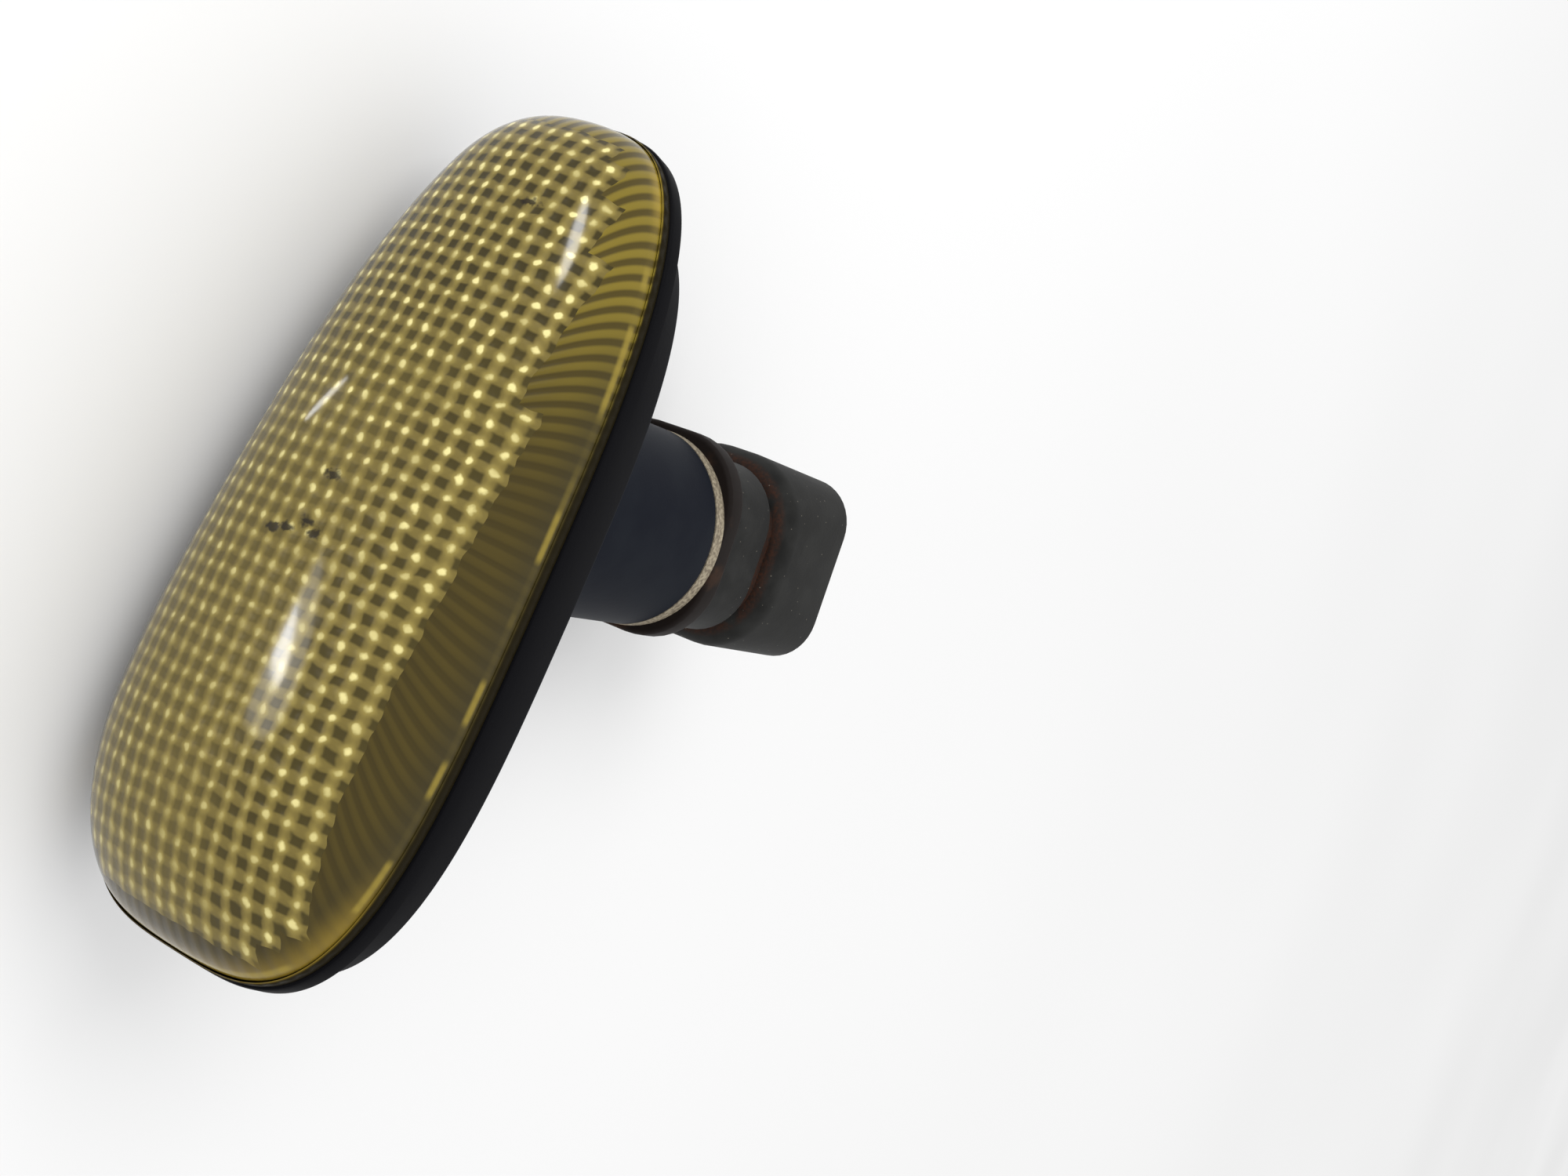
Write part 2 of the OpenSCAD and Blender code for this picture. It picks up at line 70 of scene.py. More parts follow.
# Counts of faces
DOME_RINGS = 44
FLUTE_PARTS = 4
PILLOW_PARTS = 4
HOUSING_POINTS = 480
NECK_POINTS = 128
CORNER_STEPS = 10
SIDE_STEPS = 4

# The photograph's camera: its place and its three axes in the lamp's frame, in metres
VIEW_PLACE = (0.021403, -0.136853, 0.118658)
VIEW_ACROSS = (-0.42658, 0.408713, 0.806835)
VIEW_UP = (-0.893606, -0.328178, -0.306214)
VIEW_BACK = (0.139632, -0.851618, 0.505223)
VIEW_LENS = 41.925
FILM_WIDTH = 36


def length(name, description, millimetres):
    """A size shown in the sidebar, given here in millimetres."""
    return FloatProperty(
        name=name, description=description, default=millimetres * MM, unit="LENGTH", precision=5
    )


def share(name, description, value):
    """A plain number shown in the sidebar."""
    return FloatProperty(name=name, description=description, default=value)


def tint(name, description, colour):
    """A linear colour shown in the sidebar."""
    return FloatVectorProperty(
        name=name, description=description, default=colour, subtype="COLOR", size=3, min=0, max=1
    )


class LensSizes(bpy.types.PropertyGroup):
    """Form of the lens and of the optics moulded inside it."""

    broad_half: length("Broad half", "From the middle of the lens to its broad end", 44)
    slim_half: length("Slim half", "From the middle of the lens to its slim end", 43.1)
    short_side: length("Height", "Height of the lens at its rim, in the middle", 36.8)
    broad_square: share("Broad squareness", "Squareness of the outline at its broad end", 3.38)
    slim_square: share("Slim squareness", "Squareness of the outline at its slim end", 3.1)
    taper: share("Taper", "Share by which the height grows towards the broad end", 0.137)
    offset: length("Offset", "From the neck's axis to the middle of the lens", 7.2)
    rim: length("Rim", "Place of the rim along Y", -6.1)
    depth: length("Depth", "Depth of the dome", 13.15)
    roundness: share("Roundness", "Roundness of the dome's section", 2.08)
    end: length("Broad end", "Length of the rounded stretch at the broad end", 20)
    slim_end: length("Slim end", "Length of the rounded stretch at the slim end", 9.1)
    slim_round: share("Slim roundness", "Roundness of that stretch", 2.5)
    fall: share("Fall", "Share of the depth lost towards both ends", 0.37)
    lean: share("Lean", "Share of the depth gained towards the broad end", 0.115)
    wall: length("Wall", "Thickness of the lens wall", 1.8)
    foot: length("Foot", "Height of the plain foot along the rim", 1.2)
    foot_step: length("Foot step", "How far the foot stands out", 0.15)
    foot_edge: length("Foot edge", "Height of the foot's soft edges", 0.1)
    tongue: length("Tongue", "Depth of the tongue behind the rim", 1.1)
    tongue_inset: length("Tongue inset", "From the outline to the tongue", 1)
    tongue_thick: length("Tongue thickness", "Thickness of the tongue", 1.45)
    pillow: length("Pillow", "Spacing of the pillows", 1.93)
    pillow_height: length("Pillow height", "Height of one pillow", 0.4)
    pillow_skin: length("Pillow skin", "Height of the skin between the pillows", 0.1)
    gutter: length("Gutter", "Width of the bare strip between flutes and pillows", 0.5)
    flute: length("Flute", "Spacing of the flutes along the rim", 1.71)
    flute_height: length("Flute height", "Height of one flute", 0.35)
    flute_band: length("Flute band", "Width of the fluted band seen from the front", 1.4)


class HolderSizes(bpy.types.PropertyGroup):
    """Sizes along and across the neck's axis."""

    lean: FloatProperty(
        name="Lean", description="Lean of the neck", default=math.radians(12.7), subtype="ANGLE"
    )
    holder_lean: FloatProperty(
        name="Holder lean",
        description="Lean of collar and holder",
        default=math.radians(13.1),
        subtype="ANGLE",
    )
    neck_end: length("Neck end", "Length of the neck", 27.7)
    neck_radius: length("Neck radius", "Radius of the neck at its end", 11.2)
    neck_draft: length("Neck draft", "How much wider the neck is at its foot", 0.7)
    bore: length("Bore", "Radius of the neck's bore", 9.7)
    fillet: length("Fillet", "Radius of the fillet at the neck's foot", 1)
    gasket: length("Gasket", "Thickness of the pale ring", 1.6)
    core: length("Core", "Radius of the plug that fills the neck", 8)
    plug_front: length("Plug front", "Place of the plug's front along the neck", 12.7)
    collar: length("Collar", "Thickness of the rubber collar", 2.9)
    collar_long: length("Collar long", "Half of the collar's long side", 11.8)
    collar_short: length("Collar short", "Half of the collar's short side", 11)
    collar_corner: length("Collar corner", "Radius of the collar's corners", 8.6)
    body: length("Body", "Length of the body", 7.9)
    body_long: length("Body long", "Half of the body's long side", 10)
    body_short: length("Body short", "Half of the body's short side", 10)
    body_corner: length("Body corner", "Radius of the body's corners", 7)
    waist: length("Waist", "Length of the groove", 3.4)
    waist_depth: length("Waist depth", "Depth of the groove", 1.2)
    waist_lead: length("Waist lead", "How far the groove's slope reaches into the body", 0.6)
    shell_lead: length("Shell lead", "How far the shell's front reaches over the groove", 1)
    shell: length("Shell", "Length of the connector shell", 13.1)
    shell_long: length("Shell long", "Half of the shell's long side", 11.3)
    shell_short: length("Shell short", "Half of the shell's short side", 10.4)
    shell_draft: length("Shell draft", "How much wider the shell is at its lip", 0.5)
    shell_lip: length("Shell lip", "Radius of the rounded lip", 2.5)
    lip_corner: length("Lip corner", "Radius of the corners at the lip", 9)
    shell_wall: length("Shell wall", "Thickness of the shell's wall", 1.7)
    corner: length("Corner", "Radius of the shell's corners", 5.8)


class HousingSizes(bpy.types.PropertyGroup):
    """Profile of the housing behind the lens."""

    lip: length("Lip", "How far the front band stands out from the lens", 0.45)
    band: length("Band", "Depth of the front band", 2.1)
    groove: length("Groove", "Width of the groove behind the band", 0.6)
    groove_depth: length("Groove depth", "Depth of the groove", 0.7)
    channel_wall: length("Channel wall", "Wall inside the channel for the lens", 1)
    plinth_slim: length("Plinth slim", "How far the plinth's slim end lies inside", 4.6)
    plinth_broad: length("Plinth broad", "How far the plinth's broad end lies inside", 1.8)
    plinth_side: length("Plinth side", "How far the plinth's sides lie inside the outline", 0.25)
    floor: length("Floor", "Place of the housing's inner floor along Y", -1.8)
    edge: length("Edge", "Radius of the soft edges", 0.3)


class LampColours(bpy.types.PropertyGroup):
    """Linear colours of the finishes."""

    # Painted light and shade of the pillow strands: this amber where they are lit, the tone below it in
    # the shade between them
    amber: tint("Amber", "Light tone of the lens", (0.30, 0.235, 0.060))
    amber_painted_strand_shade: tint("Low amber", "Tone between the strands", (0.165, 0.125, 0.030))
    # Painted glints: bright spots standing for light seen through the pillows
    amber_painted_glint: tint("Bright amber", "Bright spots of the pillows", (0.80, 0.71, 0.31))
    # Painted shade in the pits between the pillows
    amber_painted_pit_shade: tint("Dark amber", "Pits between the pillows", (0.040, 0.030, 0.006))
    amber_cloud: tint("Cloudy amber", "Slow clouds in the lens", (0.20, 0.15, 0.045))
    # Painted light on the flutes' ridges and painted shade in their valleys, lit at the slim end and
    # dim at the broad end
    lit_flutes: tint("Gold", "Flutes at the slim end", (0.20, 0.148, 0.018))
    lit_flutes_shade: tint("Low gold", "Valleys of those flutes", (0.070, 0.050, 0.008))
    dim_flutes: tint("Dull", "Flutes at the broad end", (0.066, 0.047, 0.008))
    dim_flutes_shade: tint("Low dull", "Valleys of those flutes", (0.048, 0.034, 0.006))
    # Painted shade on the side wall near the rim
    wall_painted_shade: tint("Low wall", "Side wall near the rim", (0.035, 0.028, 0.010))
    # Painted glow along the rim at the slim end's corner and at the broad end, and a painted bright
    # line along the rim
    glow: tint("Glow", "Corner of the slim end", (0.44, 0.30, 0.030))
    broad_rim_glow: tint("Warm", "Rim at the broad end", (0.30, 0.20, 0.020))
    line: tint("Line", "Broken line along the rim", (0.31, 0.23, 0.035))
    foot: tint("Foot", "Foot of the lens", (0.012, 0.009, 0.003))
    scar: tint("Scar", "Scars on the crown", (0.012, 0.008, 0.004))
    black: tint("Black", "Band of the housing", (0.004, 0.004, 0.005))
    slate: tint("Slate", "Neck of the housing", (0.0065, 0.008, 0.013))
    dust: tint("Dust", "Dust on the neck", (0.010, 0.012, 0.017))
    cream: tint("Cream", "Pale ring on the neck", (0.36, 0.31, 0.22))
    cream_low: tint("Low cream", "Pores of that ring", (0.16, 0.13, 0.09))
    stain: tint("Stain", "Stains on that ring", (0.14, 0.10, 0.06))
    brown: tint("Brown", "Rubber collar", (0.010, 0.007, 0.006))
    brown_rust: tint("Rusty brown", "Clouds of rust on the collar", (0.045, 0.022, 0.012))
    grey: tint("Grey", "Bulb holder", (0.010, 0.010, 0.0095))
    grey_worn: tint("Worn grey", "Clouds on the holder", (0.021, 0.021, 0.020))
    grey_shell: tint("Shell grey", "Connector shell", (0.024, 0.024, 0.023))
    rust: tint("Rust", "Dirt in the holder's groove", (0.050, 0.018, 0.009))
    rust_low: tint("Low rust", "Darker grains of that dirt", (0.022, 0.013, 0.010))
    speck: tint("Speck", "Specks on the holder", (0.30, 0.27, 0.22))


# Finishes: a small language for shader maths


class Value:
    """One socket of a finish; arithmetic on it adds Math nodes."""

    def __init__(self, finish, socket):
        self.finish = finish
        self.socket = socket

    def __add__(self, other):
        return self.finish.math("ADD", self, other)

    def __radd__(self, other):
        return self.finish.math("ADD", other, self)

    def __sub__(self, other):
        return self.finish.math("SUBTRACT", self, other)

    def __rsub__(self, other):
        return self.finish.math("SUBTRACT", other, self)

    def __mul__(self, other):
        return self.finish.math("MULTIPLY", self, other)

    def __rmul__(self, other):
        return self.finish.math("MULTIPLY", other, self)

    def __truediv__(self, other):
        return self.finish.math("DIVIDE", self, other)

    def __pow__(self, other):
        return self.finish.math("POWER", self, other)


class Finish:
    """A material with one Principled shader, and the nodes that feed it."""

    def __init__(self, name):
        self.material = bpy.data.materials.new(name)
        self.material.use_nodes = True
        self.tree = self.material.node_tree
        self.shader = self.tree.nodes["Principled BSDF"]
        place = self.tree.nodes.new("ShaderNodeTexCoord")
        self.object = Value(self, place.outputs["Object"])
        self.uv = Value(self, place.outputs["UV"])

    def node(self, kind, output, settings=None, **inputs):
        """Adds a node with its settings first, then the values or links of its sockets."""
        made = self.tree.nodes.new(kind)
        for key, value in (settings or {}).items():
            setattr(made, key, value)
        for key, value in inputs.items():
            index = int(key[1:]) if key[1:].isdigit() else key.replace("_", " ")
            self.feed(made.inputs[index], value)
        return Value(self, made.outputs[output])

    def feed(self, socket, value):
        if isinstance(value, Value):
            self.tree.links.new(value.socket, socket)
        elif hasattr(socket.default_value, "__len__") and len(value) < len(socket.default_value):
            socket.default_value = (*value, 1)
        else:
            socket.default_value = value

    def math(self, operation, a, b=0.0):
        return self.node("ShaderNodeMath", 0, {"operation": operation}, i0=a, i1=b)

    def step(self, low, high, value):
        """0 below low, 1 above high, smooth between; falls instead where low is the larger."""
        settings = {"interpolation_type": "SMOOTHSTEP"}
        if low > high:
            return 1 - self.step(high, low, value)
        return self.node("ShaderNodeMapRange", 0, settings, Value=value, From_Min=low, From_Max=high)

    def zone(self, low, high, value):
        """The same step, for a place along the lamp, with low and high in millimetres."""
        return self.step(low * MM, high * MM, value)

    def wave(self, value, period):
        """Cosine of a length, with the given period."""
        return self.math("COSINE", value * (2 * math.pi / period))

    def mix(self, factor, a, b):
        return self.node("ShaderNodeMix", 2, {"data_type": "RGBA"}, i0=factor, i6=a, i7=b)

    def noise(self, scale, detail, stretch=None):
        """Noise over the piece, with features of about 1 / scale metres."""
        vector = self.object
        if stretch:
            vector = self.node("ShaderNodeMapping", 0, Vector=vector, Scale=stretch)
        return self.node("ShaderNodeTexNoise", 0, Vector=vector, Scale=scale, Detail=detail)

    def spots(self, scale):
        """Distance to the nearest of scattered points, 1 / scale metres apart."""
        return self.node("ShaderNodeTexVoronoi", 0, Vector=self.object, Scale=scale)

    def parts(self, vector):
        """The three numbers of a vector."""
        split = self.tree.nodes.new("ShaderNodeSeparateXYZ")
        self.feed(split.inputs[0], vector)
        return [Value(self, out) for out in split.outputs]

    def bump(self, height, distance, strength):
        return self.node(
            "ShaderNodeBump", 0, Height=height, Distance=distance, Strength=strength
        )

    def set(self, **inputs):
        """Feeds the shader's own sockets by name and gives the finished material."""
        for key, value in inputs.items():
            self.feed(self.shader.inputs[key.replace("_", " ")], value)
        return self.material


def dress(piece, material):
    piece.data.materials.clear()
    piece.data.materials.append(material)


# Form of the lens, in the plane of its rim: x along, z across, rise towards the viewer


class LensForm:
    """Outline and dome of the lens, from its sizes."""

    STEPS = 2880
    NEAR = 0.2 * MM

    def __init__(self, sizes):
        self.s = sizes
        self.half = sizes.broad_half
        self.half_short = sizes.short_side / 2
        fine = [self.outline(2 * math.pi * k / self.STEPS) for k in range(self.STEPS + 1)]
        self.run = [0.0]
        for a, b in zip(fine, fine[1:]):
            self.run.append(self.run[-1] + math.dist(a, b))

    def reach(self, x):
        """Half length on the side that x lies on."""
        return self.s.slim_half if x < 0 else self.s.broad_half

    def outline(self, angle, inset=0.0, end_inset=None):
        """A point of the outline, set in by one amount all round or by another at the ends."""
        c, s = math.cos(angle), math.sin(angle)
        long = self.reach(c) - (inset if end_inset is None else end_inset)
        power = 2 / (self.s.slim_square if c < 0 else self.s.broad_square)
        x = long * math.copysign(abs(c) ** power, c)
        z = (self.half_short - inset) * math.copysign(abs(s) ** power, s)
        return x, z * (1 + self.s.taper * x / self.half)

    def even_angles(self, count):
        """Angles that part the outline into even lengths."""
        angles, k = [], 0
        for i in range(count):
            goal = self.run[-1] * i / count
            while self.run[k + 1] < goal:
                k += 1
            t = (goal - self.run[k]) / (self.run[k + 1] - self.run[k])
            angles.append(2 * math.pi * (k + t) / self.STEPS)
        return angles

    def half_height(self, x, inset):
        """Half height of the outline at a place along the lens."""
        u = min(1, abs(x) / (self.reach(x) - inset))
        power = self.s.slim_square if x < 0 else self.s.broad_square
        grown = 1 + self.s.taper * x / self.half
        return (self.half_short - inset) * (1 - u**power) ** (1 / power) * grown

    @staticmethod
    def arch(u, power):
        """Falls from 1 to 0 as u goes from 0 to 1, as a quarter of a rounded square does."""
        return (1 - min(1, max(0, u)) ** power) ** (1 / power)

    def rise(self, x, z, inset):
        """Height of the dome over the rim, where inset is the depth under the outer face."""
        slim = x < 0
        stretch = self.s.slim_end if slim else self.s.end
        power = self.s.slim_round if slim else self.s.roundness
        end = self.arch((abs(x) - self.reach(x) + stretch) / (stretch - inset), power)
        u = x / self.half
        fall = 1 + self.s.lean * u - self.s.fall * u**2
        across = abs(z) / max(self.half_height(x, inset), 1e-6)
        return (self.s.depth - inset) * end * fall * self.arch(across, self.s.roundness)

    def place(self, x, z, rise):
        return Vector((x + self.s.offset, self.s.rim - rise, z))

    def on_dome(self, x, z, inset):
        return self.place(x, z, self.rise(x, z, inset))

    def normal(self, x, z):
        """Outward direction of the outer dome, from points a little apart."""
        near = self.NEAR
        along = self.on_dome(x + near, z, 0) - self.on_dome(x - near, z, 0)
        across = self.on_dome(x, z + near, 0) - self.on_dome(x, z - near, 0)
        return along.cross(across).normalized()


def grid_of(bm, around, along):
    """A flat grid, and which step in both directions each of its corners is."""
    bmesh.ops.create_grid(bm, x_segments=around, y_segments=along, size=0.5)
    return {v: (round((v.co.x + 0.5) * around), round((v.co.y + 0.5) * along)) for v in bm.verts}


def sheet_of(bm, around, along, place, mark=None):
    """A grid bent into shape: place(i, j) gives each corner, mark(i, j) its UV."""
    steps = grid_of(bm, around, along)
    if mark:
        layer = bm.loops.layers.uv.new("run")
        for face in bm.faces:
            for loop in face.loops:
                loop[layer].uv = mark(*steps[loop.vert])
    for v, (i, j) in steps.items():
        v.co = place(i, j)


def finished(bm, name, material, node, smooth=40):
    """Turns a bmesh into a piece that rides on the lamp and stands for the CAD node."""
    bmesh.ops.remove_doubles(bm, verts=bm.verts, dist=1e-7)
    bmesh.ops.recalc_face_normals(bm, faces=bm.faces)
    limit = math.radians(smooth)
    for face in bm.faces:
        face.smooth = True
    for edge in bm.edges:
        if len(edge.link_faces) == 2 and edge.calc_face_angle(0) > limit:
            edge.smooth = False
    mesh = bpy.data.meshes.new(name)
    bm.to_mesh(mesh)
    bm.free()
    piece = bpy.data.objects.new(name, mesh)
    bpy.context.scene.collection.objects.link(piece)
    dress(piece, material)
    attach(piece, "root")
    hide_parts(node)


# Finish of the lens


def lens_finish(form, sizes, colours):
    """Amber lens: painted light and shade of pillows seen as strands, bright spots and square pits;
    flutes with painted light and shade; a painted bright rim line.
    """
    f = Finish("amber_lens")
    x, y, z = f.parts(f.object)
    x = x - sizes.offset
    rise = sizes.rim - y
    slow = f.noise(70, 1)
    fine = f.noise(1500, 2)
    inside, cells, field = pillow_colour(f, sizes, colours, x, z, slow, fine)
    # Flutes are counted by the first number of the UV
    run = f.parts(f.uv)[0]
    ridge = f.wave(run + (slow - 0.5) * 0.3, 1.0)
    side = flute_colour(f, colours, ridge, x, rise)
    colour = f.mix(inside, side, field)
    colour = rim_colour(f, colours, colour, x, z, rise)
    colour = f.mix(crack_marks(f, form) * 0.9, colour, colours.scar)
    height = cells * inside * 0.5 + ridge * (1 - inside) * 0.5
    return f.set(
        Base_Color=colour,
        Roughness=0.45,
        Specular_IOR_Level=0.05,
        Coat_Weight=f.zone(1.2, 1.8, rise),
        Coat_Roughness=0.11,
        Coat_IOR=1.22,
        Normal=f.bump(height, 0.25 * MM, 0.6),
    )


def pillow_colour(f, sizes, colours, x, z, slow, fine):
    """Where the mat is, its height pattern and its colour; spots of painted glint lie beside the
    pillows, with painted shade between the strands and in the pits.
    """
    pitch = sizes.pillow
    far = f.zone(20, -30, x)
    wobble = (slow - 0.5) * (0.5 * MM)
    jitter = (f.noise(520, 1) - 0.5) * (0.7 * MM)
    px = x + 0.46 * MM + wobble + jitter
    pz = z - 0.69 * MM - wobble + jitter
    cx = f.math("ROUND", px / pitch) * pitch
    cz = f.math("ROUND", pz / pitch) * pitch
    inside = pillow_area(f, sizes, cx, cz)
    strand, dots = f.wave(pz, pitch), f.wave(px, pitch)
    cells = strand * 1.15 + dots * 0.85
    chance = f.noise(320, 1)
    # Painted shade in the pits, which are rounded squares: both waves are low at once
    pit = f.step(0.45, -0.5, strand + (fine - 0.5) * 0.4) * f.step(0.4, -0.55, dots)
    # Painted glints: bright spots where both waves peak, brighter towards the slim end and at random
    # places
    spot = f.step(1.1, 2.0, cells + (fine - 0.5) * 1.2)
    painted_glint = spot * (0.35 + 0.65 * far) * (0.4 + 1.1 * f.step(0.3, 0.7, chance))
    # More painted glints in the last rows on the +Z side, fading out towards the slim end
    rows = f.zone(8.5, 11, z) * f.zone(-30, 0, x)
    painted_glint = f.math("MINIMUM", painted_glint + spot * rows * chance * 0.6, 1.0)
    # Painted light and shade across the pillows: lit strands, shade between them
    lit = f.mix(f.step(-0.4, 1.6, cells + (fine - 0.5) * 0.6), colours.amber_painted_strand_shade, colours.amber)
    lit = f.mix((slow - 0.35) * 0.6, lit, colours.amber_cloud)
    # The painted shade in the pits is deepest towards the slim end and on the near side
    deep = f.math("MAXIMUM", f.zone(-4, -22, x), f.zone(2, 9, z) * 0.8)
    field = f.mix(pit * (0.42 + 0.55 * deep), lit, colours.amber_painted_pit_shade)
    return inside, cells, f.mix(painted_glint, field, colours.amber_painted_glint)


def flute_colour(f, colours, ridge, x, rise):
    """Flutes: painted light and shade, as clear golden stripes at the slim end and faint ones at the
    broad end.
    """
    # Painted light on the ridges and painted shade in the valleys
    stripe = f.step(-0.8, 0.6, ridge)
    lit_flutes = f.mix(stripe, colours.lit_flutes_shade, colours.lit_flutes)
    dim_flutes = f.mix(stripe, colours.dim_flutes_shade, colours.dim_flutes)
    # Painted light: the flutes are lit towards the slim end and dim towards the broad end
    side = f.mix(f.zone(-4, -30, x), dim_flutes, lit_flutes)
    # Painted shade: the side wall darkens towards the rim, but not at the slim end
    low = f.zone(6, 2, rise) * f.zone(-28, -12, x)
    return f.mix(low * 0.6, side, colours.wall_painted_shade)


def rim_colour(f, colours, colour, x, z, rise):
    """Painted glow at both ends of the rim, a painted broken bright line, and the dark foot."""
    # Painted glow near the rim at the corner of the slim end
    glow = f.zone(3, 1.5, rise) * f.zone(-32, -38, x) * f.zone(6, 12, z)
    colour = f.mix(glow * 0.5, colour, colours.glow)
    # Painted warm glow along the rim at the broad end
    broad_rim_glow = f.zone(4.5, 1.5, rise) * f.zone(26, 36, x)
    colour = f.mix(broad_rim_glow * 0.55, colour, colours.broad_rim_glow)
    # Painted highlight: a broken bright line just above the foot
    line = f.zone(1.5, 1.9, rise) * f.zone(2.6, 2.1, rise)
    dashes = f.step(0.48, 0.56, f.noise(170, 0, stretch=(1, 0.05, 0.3)))
    colour = f.mix(line * (0.05 + 0.65 * dashes), colour, colours.line)
    return f.mix(f.zone(1.35, 1.1, rise), colour, colours.foot)


def crack_marks(f, form):
    """Small dark scars on the crown, as places along and across in millimetres."""
    rough = (f.noise(1300, 2) - 0.5) * (2.4 * MM)
    squeeze = 1.8
    squeezed = f.node("ShaderNodeMapping", 0, Vector=f.object, Scale=(squeeze, 1, 1))
    marks = 0.0
    for x, z in ((6.0, -1.3), (5.6, 0.2), (4.5, 2.0), (5.2, 3.4), (-0.4, 2.1), (-30.9, 4.4)):
        centre = form.on_dome(x * MM, z * MM, 0)
        away = f.node(
            "ShaderNodeVectorMath",
            1,
            {"operation": "DISTANCE"},
            i0=squeezed,
            i1=(squeeze * centre.x, centre.y, centre.z),
        )
        marks = f.zone(1.1, 0.4, away + rough) + marks
    return f.math("MINIMUM", marks, 1.0)


def pillow_area(f, sizes, cx, cz):
    """1 where a pillow's centre lies inside an edge that nears the rim at the broad end."""
    nearer = (0.6 * MM) * f.zone(0, 10, cx) + (2.0 * MM) * f.zone(22, 36, cx)
    inset = 4.2 * MM - nearer
    half = sizes.broad_half - inset
    power = (sizes.broad_square + sizes.slim_square) / 2
    u = f.math("MINIMUM", f.math("ABSOLUTE", cx) / half, 1.0)
    grown = 1 + cx * (sizes.taper / sizes.broad_half)
    reach = (1 - u**power) ** (1 / power) * grown * (sizes.short_side / 2 - inset)
    return f.math("GREATER_THAN", reach, f.math("ABSOLUTE", cz))


class LAMP_OT_lens(bpy.types.Operator):
    """Makes the lens shell and the pillow mat inside it"""

    bl_idname = "lamp.make_lens"
    bl_label = "Make lens"

    def execute(self, context):
        sizes = context.scene.lamp_lens
        form = LensForm(sizes)
        amber = lens_finish(form, sizes, context.scene.lamp_colours)
        self.shell(form, sizes, amber)
        self.pillows(form, sizes, amber)
        return {"FINISHED"}

    def shell(self, form, sizes, amber):
        """One closed skin: dome, foot, tongue, fluted side wall and crown."""
        around = FLUTE_PARTS * round(form.run[-1] / sizes.flute)
        angles = form.even_angles(around)
        rings = self.outer_rings(sizes) + self.inner_rings(sizes)

        def place(i, j):
            kind, amount, inset, rise = rings[j]
            t = angles[i % around]
            if kind == "dome":
                x, z = form.outline(t, inset)
                return form.on_dome(x * amount, z * amount, inset)
            if kind == "flat":
                x, z = form.outline(t, inset)
                return form.place(x, z, rise)
            share_up = 0.5 - 0.5 * math.cos(2 * math.pi * i / FLUTE_PARTS)
            wave = sizes.flute_height * share_up * amount
            x, z = form.outline(t, inset + wave)
            if rise is not None:
                return form.place(x, z, rise)
            return form.on_dome(x, z, sizes.wall + wave)

        def mark(i, j):
            return i / FLUTE_PARTS, j / len(rings)

        bm = bmesh.new()
        sheet_of(bm, around, len(rings) - 1, place, mark)
        finished(bm, "lens_shell", amber, "lens", smooth=50)

    def outer_rings(self, sizes):
        """From the crown down to the foot's underside."""
        # The last ring of the dome would lie on the foot, so it is left out
        dome = [math.sin(math.pi / 2 * k / DOME_RINGS) for k in range(1, DOME_RINGS)]
        rings = [("dome", 0.001, 0.0, 0.0)]
        rings += [("dome", s, 0.0, 0.0) for s in dome]
        step, foot, edge = sizes.foot_step, sizes.foot, sizes.foot_edge
        rings += [
            ("flat", 1.0, 0.0, foot + 1.5 * edge),
            ("flat", 1.0, -0.4 * step, foot),
            ("flat", 1.0, -step, foot - edge),
            ("flat", 1.0, -step, edge),
            ("flat", 1.0, -0.6 * step, 0.0),
        ]
        return rings

    def inner_rings(self, sizes):
        """From the rim's underside round the tongue and up the fluted wall to the inner crown."""
        tongue = sizes.tongue_inset
        back = tongue + sizes.tongue_thick
        rings = [
            ("flat", 1.0, tongue, 0.0),
            ("flat", 1.0, tongue, -sizes.tongue),
            ("flat", 1.0, back, -sizes.tongue),
            ("flat", 1.0, back, 0.0),
            ("wave", 1.0, sizes.wall, 0.0),
            ("wave", 1.0, sizes.wall + 0.1 * sizes.flute_band, None),
            ("wave", 1.0, sizes.wall + 0.45 * sizes.flute_band, None),
            ("wave", 1.0, sizes.wall + sizes.flute_band, None),
            ("wave", 0.0, sizes.wall + 1.2 * sizes.flute_band, None),
        ]
        rings += [("dome", s, sizes.wall, 0.0) for s in (0.75, 0.6, 0.45, 0.3, 0.15, 0.001)]
        return rings

    def pillows(self, form, sizes, amber):
        """Cushions side by side on the inner face of the dome, each of sixteen faces."""
        pitch, parts = sizes.pillow, PILLOW_PARTS
        columns = math.floor(2 * sizes.slim_half / pitch)
        rows = 2 * math.floor(sizes.short_side * (1 + sizes.taper) / (2 * pitch))
        edge = sizes.wall + sizes.flute_band + sizes.gutter

        def spot(i, j):
            return (i / parts - columns / 2) * pitch, (j / parts - rows / 2) * pitch

        def on_mat(x, z):
            return abs(x) < form.reach(x) - edge and form.half_height(x, edge) > abs(z)

        def place(i, j):
            x, z = spot(i, j)
            swell = math.sin(math.pi * i / parts) ** 2 * math.sin(math.pi * j / parts) ** 2
            inset = sizes.wall + sizes.pillow_skin + sizes.pillow_height * swell**0.5
            return form.on_dome(x, z, inset)

        bm = bmesh.new()
        steps = grid_of(bm, columns * parts, rows * parts)
        gone = []
        for face in bm.faces:
            i = min(steps[v][0] for v in face.verts) // parts * parts
            j = min(steps[v][1] for v in face.verts) // parts * parts
            corners = [spot(i + a, j + b) for a in (0, parts) for b in (0, parts)]
            if not all(on_mat(*c) for c in corners):
                gone.append(face)
        bmesh.ops.delete(bm, geom=gone, context="FACES")
        for v in bm.verts:
            v.co = place(*steps[v])
